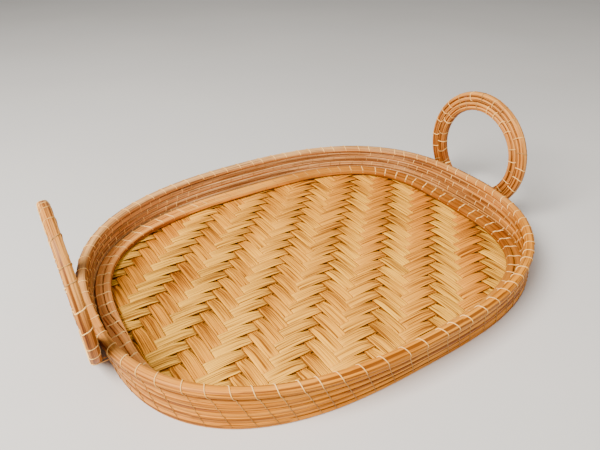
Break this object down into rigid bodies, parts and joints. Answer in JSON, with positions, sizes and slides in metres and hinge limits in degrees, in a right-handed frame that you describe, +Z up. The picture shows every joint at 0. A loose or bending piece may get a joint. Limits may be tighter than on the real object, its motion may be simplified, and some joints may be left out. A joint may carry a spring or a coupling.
{
  "type": "woven grass tray with ring handles",
  "caption": "Oval serving tray of coiled grass with a twill-woven floor, a low sewn wall and upright ring handles at both ends.",
  "frame": {"origin": "on the table under the middle of the woven floor", "axes": "+Z up, +X along the tray towards the right handle, +Y towards the far long side"},
  "size_m": [0.4192, 0.3244, 0.1229],
  "materials": {
    "floor_strips": "dry split grass, satin",
    "coil_bundles": "dry grass stems, satin",
    "handle_bundles": "dry grass stems, darker, satin",
    "sewing_strip": "pale split strip, matt"
  },
  "bodies": {
    "root": {"woven_mat": "floor_strips", "border_coil": "coil_bundles", "wall_coil": "coil_bundles", "rim_coil": "coil_bundles", "left_handle_ring": "handle_bundles", "left_handle_lashing_1": "sewing_strip", "left_handle_lashing_2": "sewing_strip", "left_handle_lashing_3": "sewing_strip", "left_handle_lashing_4": "sewing_strip", "left_handle_lashing_5": "sewing_strip", "right_handle_ring": "handle_bundles", "right_handle_lashing_1": "sewing_strip", "right_handle_lashing_2": "sewing_strip", "right_handle_lashing_3": "sewing_strip", "right_handle_lashing_4": "sewing_strip", "right_handle_lashing_5": "sewing_strip"}
  },
  "joints": []
}
